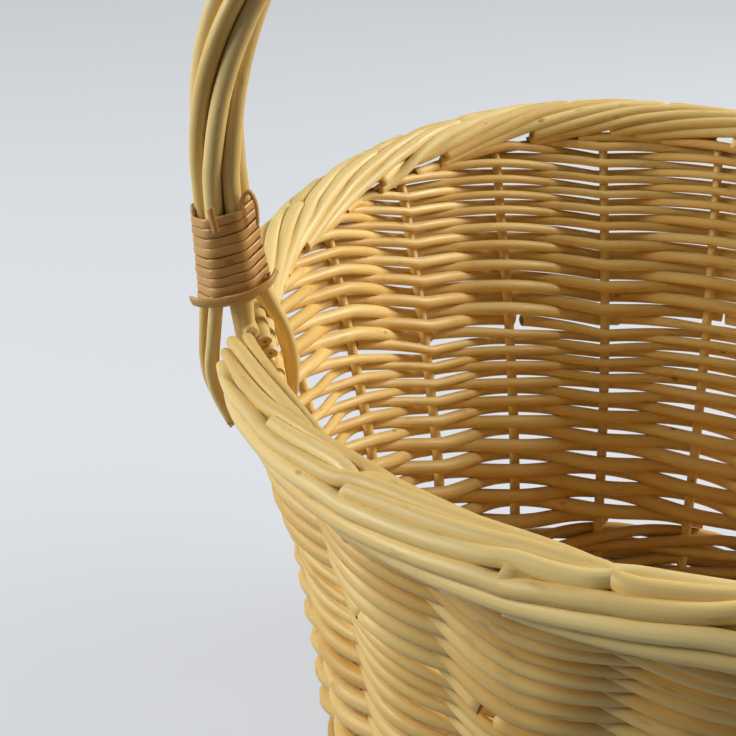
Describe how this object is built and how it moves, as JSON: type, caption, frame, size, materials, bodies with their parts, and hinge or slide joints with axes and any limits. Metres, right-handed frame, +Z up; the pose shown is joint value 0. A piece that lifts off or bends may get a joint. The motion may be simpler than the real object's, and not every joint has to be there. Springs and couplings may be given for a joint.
{
  "type": "willow gift basket",
  "caption": "Oval woven willow basket with a flared wall, a rolled border and a fixed twisted hoop handle, for carrying gifts, fruit or shopping.",
  "frame": {"origin": "middle of the basket on the surface it stands on", "axes": "+X from the left handle foot to the right one, +Y along the longer way of the rim to its far side, +Z up"},
  "size_m": [0.3574, 0.3752, 0.3915],
  "materials": {
    "side_stakes": "peeled willow rod, satin",
    "border": "peeled willow rod, satin, pale",
    "handle": "peeled willow rod, satin",
    "binding": "split willow skein, reddish tan, slightly shiny",
    "weave": "woven peeled willow, golden",
    "wale": "woven peeled willow, thick rods",
    "base": "woven peeled willow, thin rods",
    "base_sticks": "peeled willow stick"
  },
  "bodies": {
    "root": {"side_stake_near_01": "side_stakes", "side_stake_near_02": "side_stakes", "side_stake_near_03": "side_stakes", "side_stake_near_04": "side_stakes", "side_stake_near_05": "side_stakes", "side_stake_near_06": "side_stakes", "side_stake_near_07": "side_stakes", "side_stake_near_08": "side_stakes", "side_stake_near_09": "side_stakes", "side_stake_near_10": "side_stakes", "border_rod_near_01": "border", "border_rod_near_02": "border", "border_rod_near_03": "border", "border_rod_near_04": "border", "border_rod_near_05": "border", "border_rod_near_06": "border", "border_rod_near_07": "border", "border_rod_near_08": "border", "border_rod_near_09": "border", "border_rod_near_10": "border", "border_rod_near_11": "border", "side_stake_far_01": "side_stakes", "side_stake_far_02": "side_stakes", "side_stake_far_03": "side_stakes", "side_stake_far_04": "side_stakes", "side_stake_far_05": "side_stakes", "side_stake_far_06": "side_stakes", "side_stake_far_07": "side_stakes", "side_stake_far_08": "side_stakes", "side_stake_far_09": "side_stakes", "side_stake_far_10": "side_stakes", "border_rod_far_01": "border", "border_rod_far_02": "border", "border_rod_far_03": "border", "border_rod_far_04": "border", "border_rod_far_05": "border", "border_rod_far_06": "border", "border_rod_far_07": "border", "border_rod_far_08": "border", "border_rod_far_09": "border", "border_rod_far_10": "border", "border_rod_far_11": "border", "handle_bow": "handle", "handle_strand_1": "handle", "handle_strand_2": "handle", "handle_strand_3": "handle", "handle_strand_4": "handle", "handle_strand_5": "handle", "handle_strand_6": "handle", "binding_left": "binding", "binding_right": "binding", "wall_weave": "weave", "foot_wale": "wale", "base_weave": "base", "base_long_stick_1": "base_sticks", "base_long_stick_2": "base_sticks", "base_long_stick_3": "base_sticks", "base_cross_stick_1": "base_sticks", "base_cross_stick_2": "base_sticks", "base_cross_stick_3": "base_sticks"}
  },
  "joints": []
}
